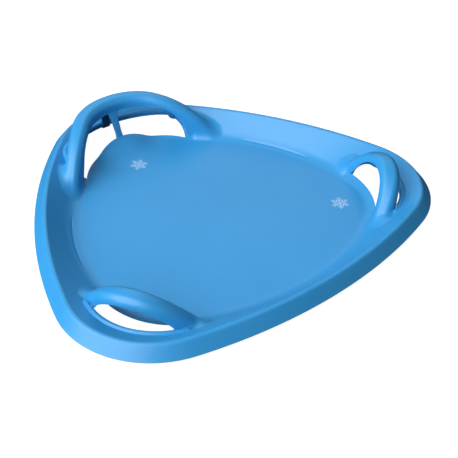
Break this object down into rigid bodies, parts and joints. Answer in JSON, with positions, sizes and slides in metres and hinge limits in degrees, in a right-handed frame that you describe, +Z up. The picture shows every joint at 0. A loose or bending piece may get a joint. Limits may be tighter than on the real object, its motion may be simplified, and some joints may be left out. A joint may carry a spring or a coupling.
{
  "type": "saucer sled",
  "caption": "Triangular saucer sled with a flat floor, a sloping wall, a rolled rim and an arched grip over an opening at each corner.",
  "frame": {"origin": "middle of the floor's flat underside, under the point where the corner axes cross", "axes": "+Z up, +Y towards the corner with the tall front handle"},
  "size_m": [0.7006, 0.6769, 0.092],
  "materials": {
    "plastic": "satin moulded polyethylene"
  },
  "bodies": {
    "root": {"floor_pan": "plastic", "pan_wall": "plastic", "rim_skirt": "plastic", "front_handle": "plastic", "front_well_lip": "plastic", "front_handle_strut": "plastic", "front_handle_prop": "plastic", "left_handle": "plastic", "left_well_lip": "plastic", "right_handle": "plastic", "right_well_lip": "plastic"}
  },
  "joints": []
}
